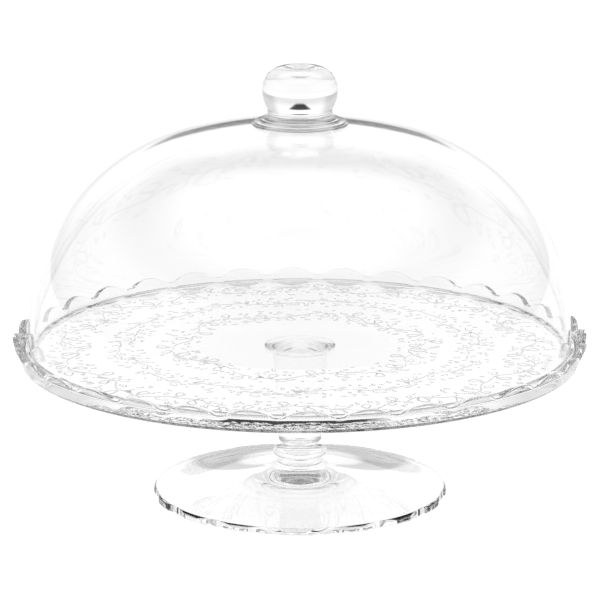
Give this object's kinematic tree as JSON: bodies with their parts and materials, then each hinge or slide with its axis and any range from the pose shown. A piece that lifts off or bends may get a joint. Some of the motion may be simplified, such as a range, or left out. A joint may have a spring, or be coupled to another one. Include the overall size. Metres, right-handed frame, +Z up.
{
  "type": "cake stand with glass dome",
  "caption": "Footed clear glass cake stand with a scalloped plate rim, a solid tapered stem and a lift-off glass dome with a ball knob.",
  "frame": {"origin": "centre of the foot's underside, on the table", "axes": "+Z up along the stem to the knob; -Y is the front; the scallop nearest +X is centred 1.6 degrees towards +Y"},
  "size_m": [0.3698, 0.3698, 0.2806],
  "materials": {
    "foot_glass": "clear, polished",
    "stem_glass": "clear, polished",
    "plate_glass": "clear, polished",
    "dome_glass": "clear, polished",
    "knob_collar_glass": "clear, polished",
    "knob_glass": "clear, polished"
  },
  "bodies": {
    "stand": {"foot": "foot_glass", "stem": "stem_glass", "plate": "plate_glass"},
    "lid": {"dome": "dome_glass", "knob_collar": "knob_collar_glass", "knob": "knob_glass"}
  },
  "joints": [
    {"name": "dome_lift", "type": "slide", "parent": "stand", "child": "lid", "axis": [0, 0, 1], "range_m": [0, 0.2]}
  ]
}
